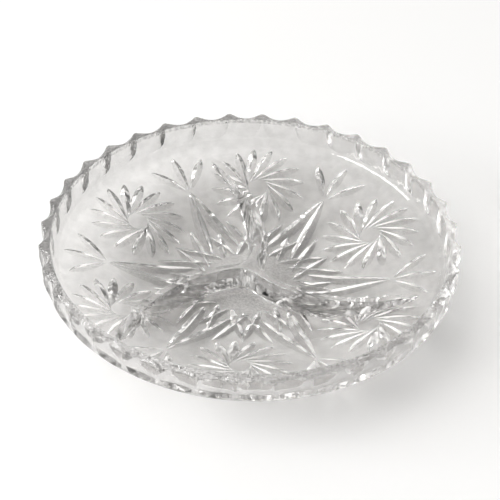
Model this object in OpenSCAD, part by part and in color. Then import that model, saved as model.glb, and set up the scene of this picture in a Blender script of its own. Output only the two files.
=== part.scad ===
// Three-compartment relish tray, pressed in one piece of clear glass.
// Millimetres, +Z up. The origin is the middle of the flat face that the tray stands on.
// +X runs along one of the six fans cut under the floor, and a rim point lies on it.

/* [Tray] */
// Diameter over the points of the rim
rim_d = 230; // [215:1:250]
// Height from the table to the top of the rim
tray_h = 37; // [35:0.5:44]
// Diameter of the flat middle that the tray stands on
rest_d = 76; // [66:1:84]
// Thickness of the glass in the floor
floor_t = 5; // [4:0.1:6]
// Slope of the floor outside the flat middle, in degrees
floor_slope = 16; // [13:0.5:18]
// Radius of the bend from the flat middle to the sloping floor
bend_r = 78; // [60:1:90]

/* [Wall] */
// Radius of the round corner outside, between the sloping floor and the wall
corner_r = 14; // [11:0.5:16]
// Radius of the cove inside, where the floor turns up into the wall
cove_r = 8; // [5:0.5:10]
// Width of the top of the wall, from its inner edge to the rim points
rim_w = 6; // [5:0.1:8]
// Lean of the inner face of the wall from upright, in degrees
wall_lean = 10; // [6:0.5:14]

/* [Flutes and scallops] */
// Number of flutes round the wall, which is also the number of rim points
flute_count = 36; // [30:6:48]
// Depth of a flute at its middle
flute_depth = 2.3; // [1.5:0.1:3]
// Width of the plain land between two flutes
land_w = 1.6; // [1:0.1:3]
// Drop of the rim between two points
scallop_drop = 2; // [1:0.1:3]
// Width of the flat left along the inner edge of the rim
rim_flat_w = 0.9; // [0.6:0.1:1.5]

/* [Dividers] */
// Height of the dividers over the middle of the floor
divider_h = 10.7; // [8:0.1:13]
// Width along the crest of a divider
crest_w = 4.4; // [3:0.1:6]
// Width of a divider at its foot, beside the hub
foot_w = 10.8; // [9:0.1:12]
// Distance from the middle of the tray to the tip of a divider
divider_reach = 96; // [84:1:97]
// Length of the rounded tip of a divider
tip_len = 6; // [3:0.5:9]
// Height of a divider over the floor where its rounded tip begins
tip_h = 2.6; // [1.5:0.1:4]
// Distance from the middle at which a divider crosses the line of a pinwheel
cross_r = 48; // [40:1:56]
// Swirl of a divider from the middle of the tray out to its tip, in degrees
swirl_angle = 35; // [20:0.1:46]
// Radius of the round fillets between two dividers, at the floor
hub_fillet_r = 11.4; // [9:0.1:14]
// Distance from the middle of the hub to the middle of each fillet, at the floor
hub_waist_r = 8; // [6:0.1:10]

/* [Hidden] */
clear_glass = [0.84, 0.86, 0.85, 0.6];
$fn = 144;

// Overrun of every cut past the glass that it goes through
over = 1;
rim_r = rim_d / 2;
rest_r = rest_d / 2;

// Underside: flat, then a bend, then a cone, then the round corner up to the wall
bend_end = [rest_r + bend_r * sin(floor_slope), bend_r * (1 - cos(floor_slope))];
corner_mid_r = rim_r - corner_r;
corner_mid = [
    corner_mid_r,
    bend_end.y + (corner_mid_r - bend_end.x) * tan(floor_slope) + corner_r / cos(floor_slope)
];
corner_start = corner_mid + corner_r * [sin(floor_slope), -cos(floor_slope)];

// Upper face: the same lines moved in by the thickness, then the cove up to the inner wall
inner_bend_r = bend_r - floor_t;
inner_bend_end = [
    rest_r + inner_bend_r * sin(floor_slope),
    bend_r - inner_bend_r * cos(floor_slope)
];
inner_rim_r = rim_r - rim_w;
cove_line_z = inner_bend_end.y - inner_bend_end.x * tan(floor_slope) + cove_r / cos(floor_slope);
cove_line_r = inner_rim_r - tray_h * tan(wall_lean) - cove_r / cos(wall_lean);
cove_mid_r = (cove_line_r + cove_line_z * tan(wall_lean)) / (1 - tan(floor_slope) * tan(wall_lean));
cove_mid = [cove_mid_r, cove_line_z + cove_mid_r * tan(floor_slope)];

// The floor and the wall meet on a cone from the start of the corner to half way up the cove
cove_foot_angle = floor_slope - 90;
cove_half_angle = (cove_foot_angle - wall_lean) / 2;

// Points of an arc about mid from angle a to angle b
function arc(mid, r, a, b, steps) =
    [for (i = [0 : steps]) mid + r * [cos(a + (b - a) * i / steps), sin(a + (b - a) * i / steps)]];

function bend_under() = arc([rest_r, bend_r], bend_r, -90, cove_foot_angle, 6);
function bend_over() = arc([rest_r, bend_r], inner_bend_r, cove_foot_angle, -90, 6);
function cove_low() = arc(cove_mid, cove_r, cove_half_angle, cove_foot_angle, 6);
function cove_high() = arc(cove_mid, cove_r, -wall_lean, cove_half_angle, 5);

// Height of the upper face of the floor at radius r, inside the cove
function floor_top(r) =
    r <= rest_r ? floor_t
    : r <= inner_bend_end.x ? bend_r - sqrt(inner_bend_r ^ 2 - (r - rest_r) ^ 2)
    : inner_bend_end.y + (r - inner_bend_end.x) * tan(floor_slope);

// Everything under the upper face of the floor and behind the inner face of the wall, which the
// dividers are cut to
module under_inside_face() {
    rotate_extrude()
        polygon(concat(
            [[0, -over], [2 * rim_r, -over], [2 * rim_r, tray_h + over], [inner_rim_r, tray_h + over]],
            [[inner_rim_r, tray_h]],
            cove_high(),
            cove_low(),
            bend_over(),
            [[0, floor_t]]
        ));
}

// Flat middle of the floor, ground true where the tray stands
module rest_base() {
    color(clear_glass)
        cylinder(h = floor_t, r = rest_r);
}

// Dished floor from the flat middle out to the wall
module dished_floor() {
    color(clear_glass)
        rotate_extrude()
            polygon(concat(bend_under(), [corner_start], cove_low(), bend_over()));
}

// One flute: a round-bottomed hollow down the outside of the wall
flute_half_angle = 180 / flute_count - asin(land_w / rim_d);
flute_half_w = rim_r * sin(flute_half_angle);
flute_sag = flute_depth - rim_r * (1 - cos(flute_half_angle));
flute_r = (flute_half_w ^ 2 + flute_sag ^ 2) / (2 * flute_sag);
module flute() {
    linear_extrude(tray_h + over)
        intersection() {
            translate([rim_r - flute_depth + flute_r, 0])
                circle(flute_r);
            translate([inner_rim_r, -flute_half_w])
                square([rim_w + over, 2 * flute_half_w]);
        }
}

// One scallop: a round hollow across the top of the rim, falling outwards to the flute
scallop_start_r = inner_rim_r + rim_flat_w;
scallop_slope = atan(scallop_drop / (rim_w - rim_flat_w - flute_depth));
scallop_depth = (rim_w - rim_flat_w) * sin(scallop_slope);
scallop_r = (flute_half_w ^ 2 + scallop_depth ^ 2) / (2 * scallop_depth);
module scallop() {
    translate([scallop_start_r, 0, tray_h])
        rotate([0, 90 + scallop_slope, 0])
            translate([-scallop_r, 0, 0])
                cylinder(h = 2 * rim_w, r = scallop_r);
}

// Wall with its flutes outside and its scalloped rim
module fluted_wall() {
    color(clear_glass)
        difference() {
            rotate_extrude()
                polygon(concat(
                    arc(corner_mid, corner_r, cove_foot_angle, 0, 10),
                    [[rim_r, tray_h], [inner_rim_r, tray_h]],
                    cove_high()
                ));
            for (i = [0 : flute_count - 1])
                rotate([0, 0, (i + 0.5) * 360 / flute_count]) {
                    flute();
                    scallop();
                }
        }
}

// Hub in the middle, where the three dividers run together in round fillets
hub_crest = floor_t + divider_h;
hub_fillet_mid = hub_waist_r + hub_fillet_r;
side_draft = (foot_w - crest_w) / 2 / divider_h;
hub_r = hub_fillet_mid / 2;
divider_angles = [90, 210, 330];

// Direction of a divider at radius r, for the one that crosses the line at angle a
function divider_angle(r, a) = a + (r - cross_r) / divider_reach * swirl_angle;

module divider_hub() {
    color(clear_glass)
        difference() {
            translate([0, 0, floor_t])
                cylinder(h = divider_h, r = hub_r);
            for (a = divider_angles)
                rotate([0, 0, divider_angle(hub_r, a) + 60])
                    translate([hub_fillet_mid, 0, floor_t - over])
                        cylinder(
                            h = divider_h + 2 * over,
                            r1 = hub_fillet_r - over * side_draft,
                            r2 = hub_fillet_r + (divider_h + over) * side_draft
                        );
        }
}

// One divider: a ridge with drafted sides, swirling outwards with a nearly level crest until it
// rounds down into the floor at its tip
shoulder_r = 1.2;
least_w_share = 0.4;
tip_start = divider_reach - tip_len;
divider_steps = 24;
tip_steps = 6;
sweep_start = hub_r / 2;
sweep_low = floor_t / 2;

// Share of its height over the floor that a divider keeps at radius r: a parabola over the tip
function kept_share(r) = r < tip_start ? 1 : 1 - ((r - tip_start) / tip_len) ^ 2;
function level_crest(r) =
    hub_crest + (floor_top(tip_start) + tip_h - hub_crest) * (r / tip_start) ^ 2;
function divider_crest(r) = floor_top(r) + (level_crest(r) - floor_top(r)) * kept_share(r);
function crest_half_w(r) = crest_w / 2 * max(least_w_share, kept_share(r));

// Half of the cross section at radius r, from the foot to the crest, as [distance out, height]
function divider_half(r, z = 0) =
    let (w = crest_half_w(r), top = divider_crest(r), s = min(shoulder_r, w))
    [
        [w + side_draft * (top - sweep_low), sweep_low],
        [w + side_draft * s, top - s],
        [w - s * 0.3, top - s * 0.3],
        [w - s * 0.9, top]
    ];

// The whole section at radius r, placed on the swirl of the divider that crosses at angle a
function divider_ring(r, a) =
    let (
        t = divider_angle(r, a),
        turn = atan(r / divider_reach * swirl_angle * PI / 180),
        mid = r * [cos(t), sin(t)],
        side = [-sin(t + turn), cos(t + turn)],
        half = divider_half(r)
    )
    concat(
        [for (p = half) [mid.x - side.x * p.x, mid.y - side.y * p.x, p.y]],
        [for (i = [len(half) - 1 : -1 : 0])
            [mid.x + side.x * half[i].x, mid.y + side.y * half[i].x, half[i].y]]
    );

// Solid through a list of rings with the same number of points, closed at both ends
module through_rings(rings) {
    n = len(rings[0]);
    last = len(rings) - 1;
    polyhedron(
        points = [for (ring = rings) each ring],
        faces = concat(
            [[for (j = [0 : n - 1]) j]],
            [for (i = [0 : last - 1], j = [0 : n - 1])
                each [
                    [i * n + j, (i + 1) * n + j, (i + 1) * n + (j + 1) % n],
                    [i * n + j, (i + 1) * n + (j + 1) % n, i * n + (j + 1) % n]
                ]],
            [[for (j = [n - 1 : -1 : 0]) last * n + j]]
        )
    );
}

module divider(a) {
    stations = concat(
        [for (i = [0 : divider_steps]) sweep_start + (tip_start - sweep_start) * i / divider_steps],
        [for (i = [1 : tip_steps]) tip_start + (tip_len + over) * i / tip_steps]
    );
    color(clear_glass)
        difference() {
            through_rings([for (r = stations) divider_ring(r, a)]);
            translate([0, 0, -over])
                cylinder(h = hub_crest + 2 * over, r = hub_r);
            under_inside_face();
        }
}

module divider_far() {
    divider(divider_angles[0]);
}

module divider_left() {
    divider(divider_angles[1]);
}

module divider_right() {
    divider(divider_angles[2]);
}

rest_base();
dished_floor();
fluted_wall();
divider_hub();
divider_far();
divider_left();
divider_right();
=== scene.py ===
import bpy
import numpy as np
from mathutils import Matrix, Vector


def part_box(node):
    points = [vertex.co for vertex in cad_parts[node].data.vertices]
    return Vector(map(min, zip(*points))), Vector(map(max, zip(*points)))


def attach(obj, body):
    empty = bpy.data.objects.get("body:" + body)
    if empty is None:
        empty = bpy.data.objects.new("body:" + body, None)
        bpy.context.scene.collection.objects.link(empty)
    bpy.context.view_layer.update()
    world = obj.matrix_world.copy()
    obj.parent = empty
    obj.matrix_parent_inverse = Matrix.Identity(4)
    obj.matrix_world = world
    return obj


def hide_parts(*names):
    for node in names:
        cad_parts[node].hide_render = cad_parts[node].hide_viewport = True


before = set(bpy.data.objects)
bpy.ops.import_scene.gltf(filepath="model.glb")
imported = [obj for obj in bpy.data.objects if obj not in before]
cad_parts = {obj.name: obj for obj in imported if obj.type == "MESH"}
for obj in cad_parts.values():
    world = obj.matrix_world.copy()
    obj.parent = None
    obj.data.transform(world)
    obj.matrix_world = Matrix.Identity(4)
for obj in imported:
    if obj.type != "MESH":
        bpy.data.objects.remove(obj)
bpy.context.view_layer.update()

# The tray: one pressing of soda-lime glass, thick in the floor, with a fluted wall and a scalloped
# rim. It leaves the mould in one piece, so one closed skin stands for all the regions of the CAD.
MM = 0.001
rest_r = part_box("rest_base")[1].x / MM
floor_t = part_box("rest_base")[1].z / MM
rim_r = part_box("fluted_wall")[1].x / MM
tray_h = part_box("fluted_wall")[1].z / MM
hub_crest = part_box("divider_hub")[1].z / MM
floor_slope = np.radians(16)
bend_r = 78.0
corner_r = 14.0
cove_r = 8.0
rim_w = 6.0
wall_lean = np.radians(10)
inner_rim_r = rim_r - rim_w

bend_end_r = rest_r + bend_r * np.sin(floor_slope)
bend_end_z = bend_r * (1 - np.cos(floor_slope))
corner_mid_r = rim_r - corner_r
corner_mid_z = (
    bend_end_z + (corner_mid_r - bend_end_r) * np.tan(floor_slope) + corner_r / np.cos(floor_slope)
)
corner_start_r = corner_mid_r + corner_r * np.sin(floor_slope)

inner_bend_r = bend_r - floor_t
inner_bend_end_r = rest_r + inner_bend_r * np.sin(floor_slope)
inner_bend_end_z = bend_r - inner_bend_r * np.cos(floor_slope)
cove_line_z = (
    inner_bend_end_z - inner_bend_end_r * np.tan(floor_slope) + cove_r / np.cos(floor_slope)
)
cove_line_r = inner_rim_r - tray_h * np.tan(wall_lean) - cove_r / np.cos(wall_lean)
cove_mid_r = (cove_line_r + cove_line_z * np.tan(wall_lean)) / (
    1 - np.tan(floor_slope) * np.tan(wall_lean)
)
cove_mid_z = cove_line_z + cove_mid_r * np.tan(floor_slope)


def underside(r):
    """Height of the plain underside at radius r: flat, then an arc, then a cone, then the arc of
    the outer corner."""
    bend = bend_r - np.sqrt(bend_r**2 - np.clip(r - rest_r, 0, bend_r / 2) ** 2)
    cone = bend_end_z + (r - bend_end_r) * np.tan(floor_slope)
    out = np.clip(r - corner_mid_r, 0, corner_r)
    corner = corner_mid_z - np.sqrt(corner_r**2 - out**2)
    return np.where(r < bend_end_r, bend, np.where(r < corner_start_r, cone, corner))


def floor_top(r):
    """Height of the upper face of the floor at radius r: flat, then an arc, then a cone."""
    arc = bend_r - np.sqrt(inner_bend_r**2 - np.clip(r - rest_r, 0, inner_bend_r / 2) ** 2)
    cone = inner_bend_end_z + (r - inner_bend_end_r) * np.tan(floor_slope)
    return np.where(r < inner_bend_end_r, arc, cone)


# Columns: twelve to a flute, one of them on the rim point and two on the edges of the flute
flute_count = 36
columns_per_flute = 12
columns = flute_count * columns_per_flute
flute_depth = 2.3
land_w = 1.6
scallop_drop = 2.0
rim_flat_w = 0.9
flute_half_angle = np.pi / flute_count - np.arcsin(land_w / 2 / rim_r)
flute_half_w = rim_r * np.sin(flute_half_angle)
flute_sag = flute_depth - rim_r * (1 - np.cos(flute_half_angle))
flute_r = (flute_half_w**2 + flute_sag**2) / (2 * flute_sag)
across_flute = np.linspace(-flute_half_angle, flute_half_angle, columns_per_flute - 1)
from_middle = np.tile(np.concatenate([[-np.pi / flute_count], across_flute]), flute_count)
flute_middle = np.repeat(np.arange(flute_count) + 0.5, columns_per_flute) * 2 * np.pi / flute_count
wall_angle = flute_middle + from_middle

# Outer wall at each column: the flute is an upright cylinder that cuts into it
flute_axis_r = rim_r - flute_depth + flute_r
on_rim_point = np.arange(columns) % columns_per_flute == 0
aside = flute_axis_r * np.sin(np.where(on_rim_point, 0, from_middle))
cut_r = flute_axis_r * np.cos(from_middle) - np.sqrt(flute_r**2 - aside**2)
wall_r = np.where(on_rim_point, rim_r, cut_r)

scallop_start_r = inner_rim_r + rim_flat_w
scallop_slope = np.arctan(scallop_drop / (rim_w - rim_flat_w - flute_depth))
scallop_depth = (rim_w - rim_flat_w) * np.sin(scallop_slope)
scallop_r = (flute_half_w**2 + scallop_depth**2) / (2 * scallop_depth)


def scallop_dip(r):
    """How far the rim has dropped at radius r in each column: a round trough of radius scallop_r
    that runs outwards and down at the scallop's slope."""
    out = r * np.cos(from_middle) - scallop_start_r
    side = np.minimum(np.abs(r * np.sin(from_middle)), flute_half_w)
    rise = scallop_r - np.sqrt(scallop_r**2 - side**2)
    return (out * np.sin(scallop_slope) - rise) / np.cos(scallop_slope)


# Where the scallop starts in each column, found by stepping along its slope
edge_steps = 12
scallop_edge_r = np.full(columns, scallop_start_r)
for _ in range(edge_steps):
    scallop_edge_r = scallop_edge_r - scallop_dip(scallop_edge_r) / np.tan(scallop_slope)
scallop_edge_r = np.minimum(scallop_edge_r, wall_r)
wall_top_z = tray_h - np.maximum(scallop_dip(wall_r), 0)

# Dividers: three ridges that swirl out from a small hub with a nearly level crest, until each
# rounds down into the floor at its tip
divider_reach = 96.0
crest_w = 4.4
foot_w = 10.8
tip_len = 6.0
tip_h = 2.6
tip_start = divider_reach - tip_len
least_w_share = 0.4
cross_r = 48.0
swirl = np.radians(35)
hub_fillet_r = 11.4
hub_waist_r = 8.0
divider_h = hub_crest - floor_t
side_draft = (foot_w - crest_w) / 2 / divider_h
hub_r = (hub_waist_r + hub_fillet_r) / 2
divider_angles = np.radians([90, 210, 330])
crest_round = 1.6
foot_round = 0.5
hub_blend = 1.5
far_off = 1000.0


def swirl_turn(r):
    """How far a divider has turned at radius r from where it crosses the line of its angle."""
    return (np.minimum(r, divider_reach) - cross_r) / divider_reach * swirl


def smooth_lower(a, b, k):
    """The lower of two heights, rounded over k where they cross."""
    h = np.clip(0.5 + 0.5 * (b - a) / k, 0, 1)
    return b * (1 - h) + a * h - k * h * (1 - h)


def inside_top(x, y):
    """Height of the upper face at a point: the floor, or the ridge of the nearest divider where it
    stands higher. A ridge rises from its foot by 1 / side_draft up to its crest, which keeps a
    parabola's share of its height over the tip. Within hub_r the three hollows between the
    dividers bound it instead, blended in over hub_blend either way."""
    r = np.hypot(x, y)
    angle = np.arctan2(y, x)
    ground = floor_top(r)
    crest = hub_crest + (floor_top(tip_start) + tip_h - hub_crest) * (r / tip_start) ** 2
    kept = 1 - (np.clip(r - tip_start, 0, None) / tip_len) ** 2
    crest = ground + (crest - ground) * kept
    half_w = crest_w / 2 * np.maximum(kept, least_w_share)
    slant = np.cos(np.arctan(r / divider_reach * swirl))
    within = np.full(r.shape, -far_off)
    hub_within = np.full(r.shape, far_off)
    for a in divider_angles:
        off = np.angle(np.exp(1j * (angle - a - swirl_turn(r))))
        side = r * np.abs(np.sin(np.clip(off, -np.pi / 2, np.pi / 2))) * slant
        side = np.where(np.abs(off) > np.pi / 2, far_off, side)
        within = np.maximum(within, half_w + side_draft * np.maximum(crest - ground, 0) - side)
        mid = a + swirl_turn(hub_r) + np.pi / 3
        reach = hub_waist_r + hub_fillet_r
        away = np.hypot(x - reach * np.cos(mid), y - reach * np.sin(mid)) - hub_fillet_r
        hub_within = np.minimum(hub_within, away)
    near_hub = np.clip((hub_r + hub_blend - r) / (2 * hub_blend), 0, 1)
    within = within + (hub_within - within) * near_hub
    ridge = smooth_lower(ground + within / side_draft, crest, crest_round)
    return -smooth_lower(-ground, -ridge, foot_round)


# Columns on the inside lean with the dividers and lie closer together near them
first_divider_column = 128
sector = columns // 3
step = (np.arange(columns) - first_divider_column + sector // 2) % sector - sector // 2
which = np.round((np.arange(columns) - first_divider_column - step) / sector)
near_share = 0.45
fan_out = step * 2 * np.pi / columns * (near_share + (1 - near_share) * 2 * np.abs(step) / sector)
divider_column = divider_angles[0] + which * 2 * np.pi / 3 + fan_out


def inside_angle(r):
    """Azimuth of each column at radius r: along the dividers on the floor, and on the flutes'
    columns from the cove outwards."""
    ease = np.clip((r - divider_reach) / (cove_mid_r - divider_reach), 0, 1)
    ease = ease * ease * (3 - 2 * ease)
    apart = np.angle(np.exp(1j * (divider_column + swirl_turn(r) - wall_angle)))
    return wall_angle + apart * (1 - ease)


def straight(r0, z0, r1, z1, n):
    """n rows on a straight line that starts at (r0, z0) and stops short of (r1, z1), in each column."""
    t = np.arange(n)[:, None] / n
    ones = np.ones(columns)
    return (r0 + (r1 - r0) * t) * ones, (z0 + (z1 - z0) * t) * ones


def rounded(r0, z0, rm, zm, r1, z1, n):
    """n rows on the parabola from (r0, z0) to (r1, z1) that both sides of the corner (rm, zm) touch."""
    t = np.arange(n)[:, None] / n
    ones = np.ones(columns)
    first, middle, last = (1 - t) ** 2, 2 * t * (1 - t), t**2
    return (first * r0 + middle * rm + last * r1) * ones, (first * z0 + middle * zm + last * z1) * ones


def arc_rows(mid_r, mid_z, radius, a0, a1, n):
    """n rows on an arc about (mid_r, mid_z) that starts at angle a0 and stops short of a1."""
    a = a0 + (a1 - a0) * np.arange(n)[:, None] / n
    ones = np.ones(columns)
    return (mid_r + radius * np.cos(a)) * ones, (mid_z + radius * np.sin(a)) * ones


def scallop_z(r):
    """Height of the top of the rim at radius r in each column."""
    return tray_h - np.maximum(scallop_dip(r), 0)


# One profile a column, from near the middle underneath, round the rim, to near the middle on top
edge_round = 0.4
first_ring = 4.0
flat_rows, dish_rows, corner_rows, wall_rows = 6, 19, 10, 7
lip_rows, scallop_rows, crown_rows, brow_rows = 3, 5, 2, 4
inner_wall_rows, cove_rows, floor_rows = 5, 8, 100
flat_part = np.linspace(first_ring, rest_r, flat_rows)
dish_part = np.linspace(rest_r, corner_start_r, dish_rows)[1:-1]
under_r = np.concatenate([flat_part, dish_part])[:, None] * np.ones(columns)
corner_foot = floor_slope - np.pi / 2
corner_top = -np.arccos(np.clip((wall_r - corner_mid_r) / corner_r, -1, 1))
corner_top_z = corner_mid_z + corner_r * np.sin(corner_top)
lip_r = wall_r - edge_round
scallop_in_r = np.minimum(scallop_edge_r, lip_r - edge_round / 2)
flat_in_r = inner_rim_r + edge_round
lean_r = edge_round * np.sin(wall_lean)
lean_z = edge_round * np.cos(wall_lean)
cove_top_r = cove_mid_r + cove_r * np.cos(wall_lean)
cove_top_z = cove_mid_z - cove_r * np.sin(wall_lean)
skin = [
    (under_r, underside(under_r)),
    arc_rows(corner_mid_r, corner_mid_z, corner_r, corner_foot, corner_top, corner_rows),
    straight(wall_r, corner_top_z, wall_r, wall_top_z - edge_round, wall_rows),
    rounded(wall_r, wall_top_z - edge_round, wall_r, wall_top_z, lip_r, scallop_z(lip_r), lip_rows),
]
slope_r = straight(lip_r, 0, scallop_in_r, 0, scallop_rows)[0]
brow_r = inner_rim_r - lean_r
brow_z = tray_h - lean_z
skin += [
    (slope_r, scallop_z(slope_r)),
    straight(scallop_in_r, tray_h, flat_in_r, tray_h, crown_rows),
    rounded(flat_in_r, tray_h, inner_rim_r, tray_h, brow_r, brow_z, brow_rows),
    straight(brow_r, brow_z, cove_top_r, cove_top_z, inner_wall_rows),
    arc_rows(cove_mid_r, cove_mid_z, cove_r, -wall_lean, corner_foot, cove_rows),
]
outside_rows = sum(len(r) for r, z in skin)
cove_foot_r = cove_mid_r + cove_r * np.cos(corner_foot)
floor_r = np.linspace(cove_foot_r, first_ring / 2, floor_rows)[:, None] * np.ones(columns)
skin_r = np.concatenate([r for r, z in skin] + [floor_r])
first_inside = outside_rows - brow_rows - inner_wall_rows - cove_rows
on_inside = np.arange(len(skin_r))[:, None] >= first_inside
skin_angle = np.where(on_inside, inside_angle(skin_r), wall_angle * np.ones(skin_r.shape))
skin_x = skin_r * np.cos(skin_angle)
skin_y = skin_r * np.sin(skin_angle)
skin_z = np.concatenate(
    [z for r, z in skin] + [inside_top(skin_x[outside_rows:], skin_y[outside_rows:])]
)
points = np.stack([skin_x, skin_y, skin_z], -1).reshape(-1, 3)
points = np.concatenate([points, [[0, 0, 0], [0, 0, hub_crest]]])


def ring_faces(rows, around):
    """Quads between neighbouring rows of a grid that is closed round its columns."""
    i, j = np.meshgrid(np.arange(rows - 1), np.arange(around), indexing="ij")
    nxt = (j + 1) % around
    return np.stack(
        [i * around + j, i * around + nxt, (i + 1) * around + nxt, (i + 1) * around + j], -1
    ).reshape(-1, 4)


def new_mesh(name, points_mm, *faces):
    """A mesh object from points in millimetres and arrays of faces, smooth all over."""
    mesh = bpy.data.meshes.new(name)
    mesh.from_pydata(points_mm * MM, [], [f for group in faces for f in group.tolist()])
    mesh.update()
    mesh.polygons.foreach_set("use_smooth", np.ones(len(mesh.polygons), bool))
    made = bpy.data.objects.new(name, mesh)
    bpy.context.scene.collection.objects.link(made)
    return made


column = np.arange(columns)
next_column = (column + 1) % columns
last_row = (len(skin_r) - 1) * columns
pole_under, pole_top = len(points) - 2, len(points) - 1
under_pole = np.stack([next_column, column, np.full(columns, pole_under)], -1)
top_pole = np.stack([last_row + column, last_row + next_column, np.full(columns, pole_top)], -1)
tray = new_mesh("tray", points, ring_faces(len(skin_r), columns), under_pole, top_pole)

# The pattern under the floor: leaf-shaped mitre cuts of one V section, deepest where they are
# widest. Fans of three blades lie on six axes, pinwheels of sixteen blades between them, and long
# spears and short crossing cuts draw a star about the plain middle
mitre_slope = 0.70
blunt, pointed = 1.3, 1.8
fan_axes = np.radians(60) * np.arange(6)
wheel_axes = fan_axes + np.radians(30)
cut_rings = 15
cut_margin = 0.7
cut_lift = 0.015
leaf_slot, star_slot = 1, 2
for _ in range(star_slot + 1):
    tray.data.materials.append(None)


def on_axis(axis, along, across):
    """Points along and across each axis, in millimetres, as one row of plan points an axis."""
    along_dir = np.stack([np.cos(axis), np.sin(axis)], -1)
    across_dir = np.stack([np.sin(axis), -np.cos(axis)], -1)
    return along * along_dir + across * across_dir


def leaf_cutters(slot, start, end, width, belly, point):
    """Closed cutters for leaf cuts between plan points. At share s of its length a cut is width
    times s^a (1-s)^b wide, scaled so that it is widest, at width, at share belly; a + b is
    point. Each ring has an apex up in the glass and two feet outside it. The faces that a cutter
    leaves in the glass keep its material slot."""
    a, b = point * belly, point * (1 - belly)
    s = (1 - np.cos(np.pi * np.linspace(0, 1, cut_rings))) / 2
    leaf = s**a * (1 - s) ** b / (belly**a * (1 - belly) ** b)
    half = width / 2 * leaf
    run = end - start
    side = np.stack([-run[:, 1], run[:, 0]], -1) / np.linalg.norm(run, axis=1)[:, None]
    mid = start[:, None] + run[:, None] * s[None, :, None]
    foot = (half + cut_margin)[None, :, None] * side[:, None]
    plan = np.stack([mid, mid + foot, mid - foot], 2)
    height = underside(np.linalg.norm(plan, axis=-1)) - cut_lift
    height[:, :, 0] += mitre_slope * half
    height[:, :, 1:] -= mitre_slope * cut_margin
    points = np.concatenate([plan, height[..., None]], -1).reshape(-1, 3)
    quads = ring_faces(cut_rings, 3)[:, ::-1]
    caps = np.array([[0, 1, 2], [3 * cut_rings - 1, 3 * cut_rings - 2, 3 * cut_rings - 3]])
    shift = 3 * cut_rings * np.arange(len(start))[:, None, None]
    made = new_mesh("cutter", points, (quads + shift).reshape(-1, 4), (caps + shift).reshape(-1, 3))
    for _ in range(slot + 1):
        made.data.materials.append(None)
    made.data.polygons.foreach_set("material_index", np.full(len(made.data.polygons), slot))
    return made


fan_r = 0.688 * rim_r
fan_gap = 0.018 * rim_r
fan_blade = 0.205 * rim_r
fan_w = 0.047 * rim_r
fan_spread = np.radians(40)
fan_belly = 0.58
cuts = []
for turn in (-fan_spread, 0, fan_spread):
    root = on_axis(fan_axes, fan_r + fan_gap * np.cos(turn), fan_gap * np.sin(turn))
    reach = fan_gap + fan_blade
    tip = on_axis(fan_axes, fan_r + reach * np.cos(turn), reach * np.sin(turn))
    cuts.append(leaf_cutters(leaf_slot, root, tip, fan_w, fan_belly, pointed))

# Cuts of the star on one side of an axis: root and tip as shares of the tray's radius along and
# across the axis, then the width as a share of it, and the belly
star_shares = [
    (fan_axes, (0.268, 0.075), (0.688, 0.002), 0.062, 0.42),
    (fan_axes, (0.215, -0.030), (0.405, 0.034), 0.046, 0.50),
    (fan_axes, (0.185, 0.128), (0.463, 0.102), 0.046, 0.50),
    (wheel_axes, (0.203, 0.070), (0.443, -0.004), 0.046, 0.45),
]
for hand in (-1, 1):
    for axes, root_share, tip_share, width_share, belly in star_shares:
        root = on_axis(axes, root_share[0] * rim_r, hand * root_share[1] * rim_r)
        tip = on_axis(axes, tip_share[0] * rim_r, hand * tip_share[1] * rim_r)
        cuts.append(leaf_cutters(star_slot, root, tip, width_share * rim_r, belly, blunt))

wheel_r = 0.6755 * rim_r
wheel_ring = 0.050 * rim_r
wheel_reach = 0.24 * rim_r
wheel_w = 0.049 * rim_r
wheel_belly = 0.62
blades = 16
first_tip = np.radians(14.2)
for odd in (0, 1):
    back = first_tip + (np.arange(odd, blades, 2) * 2 * np.pi / blades)[:, None]
    tip_turn = (wheel_axes - back).ravel()
    root_turn = tip_turn + np.arccos(wheel_ring / wheel_reach)
    hub = np.tile(on_axis(wheel_axes, wheel_r, 0), (blades // 2, 1))
    root = hub + wheel_ring * np.stack([np.cos(root_turn), np.sin(root_turn)], -1)
    tip = hub + wheel_reach * np.stack([np.cos(tip_turn), np.sin(tip_turn)], -1)
    cuts.append(leaf_cutters(leaf_slot, root, tip, wheel_w, wheel_belly, pointed))

for cutter in cuts:
    cut = tray.modifiers.new("cut", "BOOLEAN")
    cut.operation = "DIFFERENCE"
    cut.solver = "MANIFOLD"
    cut.object = cutter
    shaped = tray.evaluated_get(bpy.context.evaluated_depsgraph_get())
    cut_tray = bpy.data.meshes.new_from_object(shaped)
    tray.modifiers.clear()
    tray.data = cut_tray
    bpy.data.objects.remove(cutter)
    bpy.context.view_layer.update()
tray.data.name = "tray"
crisp = np.radians(17)
tray.data.polygons.foreach_set("use_smooth", np.ones(len(tray.data.polygons), bool))
tray.data.set_sharp_from_angle(angle=crisp)


def colour(hex_value):
    """A linear colour from an sRGB hex value."""
    srgb = np.array([int(hex_value[i : i + 2], 16) for i in (1, 3, 5)]) / 255
    linear = np.where(srgb <= 0.04045, srgb / 12.92, ((srgb + 0.055) / 1.055) ** 2.4)
    return (*linear, 1.0)


def add(tree, kind, settings=None, **links):
    """A node of that kind with its settings, and its inputs linked or set: by name, or by number
    after an underscore."""
    node = tree.nodes.new(kind)
    for name, value in (settings or {}).items():
        setattr(node, name, value)
    for name, value in links.items():
        key = int(name[1:]) if name[0] == "_" else name.replace("_", " ")
        socket = node.inputs[key]
        if isinstance(value, bpy.types.NodeSocket):
            tree.links.new(value, socket)
        else:
            socket.default_value = value
    return node


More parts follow.
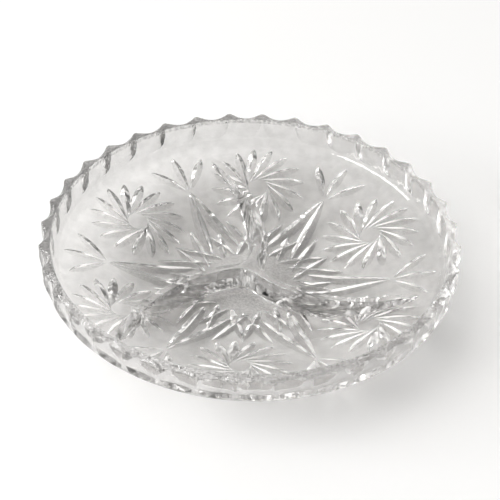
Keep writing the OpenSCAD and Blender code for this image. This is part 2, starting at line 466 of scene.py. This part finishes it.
def pressed_glass(name, tint, cloud_tint, cloud_size, roughness, wave_size, wave_height):
    """Clear glass that is mottled between two tints over cloud_size millimetres, and whose faces
    swell and sink by wave_height over wave_size millimetres."""
    glass = bpy.data.materials.new(name)
    glass.use_nodes = True
    tree = glass.node_tree
    tree.nodes.clear()
    place = add(tree, "ShaderNodeTexCoord").outputs["Object"]
    wave = add(tree, "ShaderNodeTexNoise", Vector=place, Scale=1 / (wave_size * MM), Detail=1.0)
    bump = add(
        tree, "ShaderNodeBump", Height=wave.outputs["Fac"], Strength=1.0, Distance=wave_height * MM
    )
    cloud = add(tree, "ShaderNodeTexNoise", Vector=place, Scale=1 / (cloud_size * MM), Detail=6.0)
    share = add(
        tree, "ShaderNodeMapRange", Value=cloud.outputs["Fac"], From_Min=0.38, From_Max=0.62
    )
    mottled = add(
        tree, "ShaderNodeMix", {"data_type": "RGBA"},
        _0=share.outputs[0], _6=colour(tint), _7=colour(cloud_tint),
    )
    clear = add(
        tree, "ShaderNodeBsdfPrincipled",
        Base_Color=mottled.outputs[2], Roughness=roughness, IOR=1.52, Transmission_Weight=1.0,
        Normal=bump.outputs["Normal"],
    )
    add(tree, "ShaderNodeOutputMaterial", Surface=clear.outputs[0])
    return glass


# Soda-lime glass of IOR 1.52, pressed and fire-polished: clear and colourless with a faint warm
# grey, mirror-smooth and very slightly wavy over the floor and the crests of the dividers
tray.data.materials[0] = pressed_glass(
    "pressed_soda_lime_glass", "#e8e7e6", "#dad9d8", 6, 0.0, 22, 0.06
)
# The mitre cuts keep the grain of the mould, so their facets glint unevenly. Their glass is also
# painted greyer than the floor's, as painted shade in the grooves, and the star's cuts are painted the
# greyest.
# The grain is drawn coarser than it is, so that it shows
tray.data.materials[leaf_slot] = pressed_glass(
    "mould_grain_and_painted_shade_leaf_glass", "#dddcdb", "#c2c1c0", 1.5, 0.03, 3, 0.03
)
# Painted shade: the star's cuts get the greyest tint of all
tray.data.materials[star_slot] = pressed_glass(
    "mould_grain_and_painted_shade_star_glass", "#cac9c8", "#aeadac", 1.5, 0.03, 3, 0.03
)
# The rest face is scuffed by use, which gives it a grey stipple, and the rim is dimpled, so that it
# sparkles. The rim's dark grey mottle is painted shade. Both are drawn coarser than they are, so that
# they show
tray.data.materials.append(
    pressed_glass("scuffed_rest_face_glass", "#e6e5e4", "#bdbcbb", 1.4, 0.0, 22, 0.06)
)
# Painted shade: the rim band is mottled with dark grey over its real dimples
tray.data.materials.append(
    pressed_glass("dimpled_rim_glass_with_painted_shade", "#e6e5e4", "#8c8b8a", 1.6, 0.0, 1.6, 0.8)
)
# The upright faces chill first against the mould, so the wall and the dividers' sides are wavier. The
# dividers' sides are also mottled dark grey, as painted shade along their flanks
tray.data.materials.append(
    pressed_glass("wavy_wall_glass", "#e6e5e4", "#d9d8d7", 6, 0.0, 5, 0.18)
)
tray.data.materials.append(
    pressed_glass("wavy_divider_side_glass_with_painted_shade", "#e3e2e1", "#a4a3a2", 4, 0.0, 5, 0.25)
)

# Which glass a face gets goes by its height: only the wall reaches over wall_from. The dividers' sides,
# which get the painted shade, stand over the floor by more than foot_h and lean by more than their
# crests do
scuffed_slot, rim_slot, wall_slot, painted_shade_side_slot = 3, 4, 5, 6
flat_under = 0.01
wall_from = 17.0
rim_band = 0.6
rim_from = tray_h - scallop_drop - rim_band
foot_h = 0.8
level_share = 0.8
faces = tray.data.polygons
face_slot = np.empty(len(faces), int)
face_mid = np.empty(len(faces) * 3)
face_normal = np.empty(len(faces) * 3)
faces.foreach_get("material_index", face_slot)
faces.foreach_get("center", face_mid)
faces.foreach_get("normal", face_normal)
face_r = np.hypot(face_mid[0::3], face_mid[1::3]) / MM
face_z = face_mid[2::3] / MM
over_floor = face_z - floor_top(np.minimum(face_r, divider_reach))
# Painted shade: these flank faces get the darker mottled glass
on_painted_shade_side = (face_r < divider_reach) & (over_floor > foot_h) & (face_normal[2::3] < level_share)
face_slot[on_painted_shade_side] = painted_shade_side_slot
face_slot[(face_slot == 0) & (face_z < flat_under)] = scuffed_slot
face_slot[(face_slot == 0) & (face_z > wall_from)] = wall_slot
face_slot[face_z > rim_from] = rim_slot
faces.foreach_set("material_index", face_slot)
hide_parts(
    "rest_base", "dished_floor", "fluted_wall",
    "divider_hub", "divider_far", "divider_left", "divider_right",
)
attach(tray, "root")

# Table: a pale matt sheet that the tray stands on, running out past the view
table_half = 3000.0
table_drop = 0.02
table_points = np.array([[-1, -1, 0], [1, -1, 0], [1, 1, 0], [-1, 1, 0]]) * table_half
table_points[:, 2] = -table_drop
table = new_mesh("table", table_points, np.array([[0, 1, 2, 3]]))
paper = bpy.data.materials.new("matt_white_paper")
paper.use_nodes = True
tree = paper.node_tree
tree.nodes.clear()
matt = add(tree, "ShaderNodeBsdfPrincipled", Base_Color=colour("#f7f7f7"), Roughness=0.9)
matt.inputs["Specular IOR Level"].default_value = 0.0
add(tree, "ShaderNodeOutputMaterial", Surface=matt.outputs[0])
table.data.materials.append(paper)

# Studio: a pale room that is white all round at the height of the table. Above that it is lighter
# to the left of the tray and behind it, and dim on the other side. A broad soft window on the left,
# slightly in front, draws the bright line along the foot of the wall
world = bpy.data.worlds.new("room")
bpy.context.scene.world = world
world.use_nodes = True
tree = world.node_tree
tree.nodes.clear()
toward = add(tree, "ShaderNodeTexCoord").outputs["Generated"]
light_side = Vector((-0.8, 0.45, 0.35)).normalized()
facing = add(tree, "ShaderNodeVectorMath", {"operation": "DOT_PRODUCT"}, _0=toward, _1=light_side)
level = add(
    tree, "ShaderNodeMapRange", {"interpolation_type": "SMOOTHSTEP"}, Value=facing.outputs["Value"],
    From_Min=-0.3, From_Max=0.9, To_Min=0.12, To_Max=1.55,
)
height = add(tree, "ShaderNodeSeparateXYZ", Vector=toward).outputs["Z"]
over_table = add(
    tree, "ShaderNodeMapRange", {"interpolation_type": "SMOOTHSTEP"}, Value=height,
    From_Min=0.1, From_Max=0.35, To_Min=1.0, To_Max=level.outputs[0],
)
room = add(tree, "ShaderNodeBackground", Color=colour("#fffefc"), Strength=over_table.outputs[0])
add(tree, "ShaderNodeOutputWorld", Surface=room.outputs[0])

window_place = Vector((-1776.0, -500.0, 800.0))
window_w = 1800.0
window_h = 550.0
window_light = bpy.data.lights.new("window", "AREA")
window_light.shape = "RECTANGLE"
window_light.size = window_w * MM
window_light.size_y = window_h * MM
window_light.energy = 33.0
window = bpy.data.objects.new("window", window_light)
window.location = window_place * MM
window.rotation_euler = (-window_place).to_track_quat("-Z", "Y").to_euler()
window.visible_camera = False
bpy.context.scene.collection.objects.link(window)

# Camera: it looks down on the tray from the front, at the distance and tilt of the photograph
view_turn = np.radians(2.5)
view_tilt = np.radians(39.697)
view_roll = np.radians(1.849)
view_distance = 7.7893 * rim_r
view_target = Vector((0.0007 * rim_r, -0.1135 * rim_r, tray_h))
focal_px = 1658
picture_px = 500
sensor_w = 36
camera = bpy.data.objects.new("camera", bpy.data.cameras.new("camera"))
camera.data.sensor_width = sensor_w
camera.data.lens = sensor_w * focal_px / picture_px
camera.data.clip_start = 0.01
turn_about_z = Matrix.Rotation(view_turn, 4, "Z")
back = Vector((0, -np.cos(view_tilt), np.sin(view_tilt)))
look = Matrix.Rotation(np.pi / 2 - view_tilt, 4, "X") @ Matrix.Rotation(view_roll, 4, "Z")
camera.matrix_world = turn_about_z @ (
    Matrix.Translation((view_target + back * view_distance) * MM) @ look
)
bpy.context.scene.collection.objects.link(camera)
scene = bpy.context.scene
scene.camera = camera
scene.view_settings.view_transform = "Standard"
scene.cycles.max_bounces = 32
scene.cycles.transmission_bounces = 32
scene.cycles.glossy_bounces = 16
scene.cycles.blur_glossy = 0
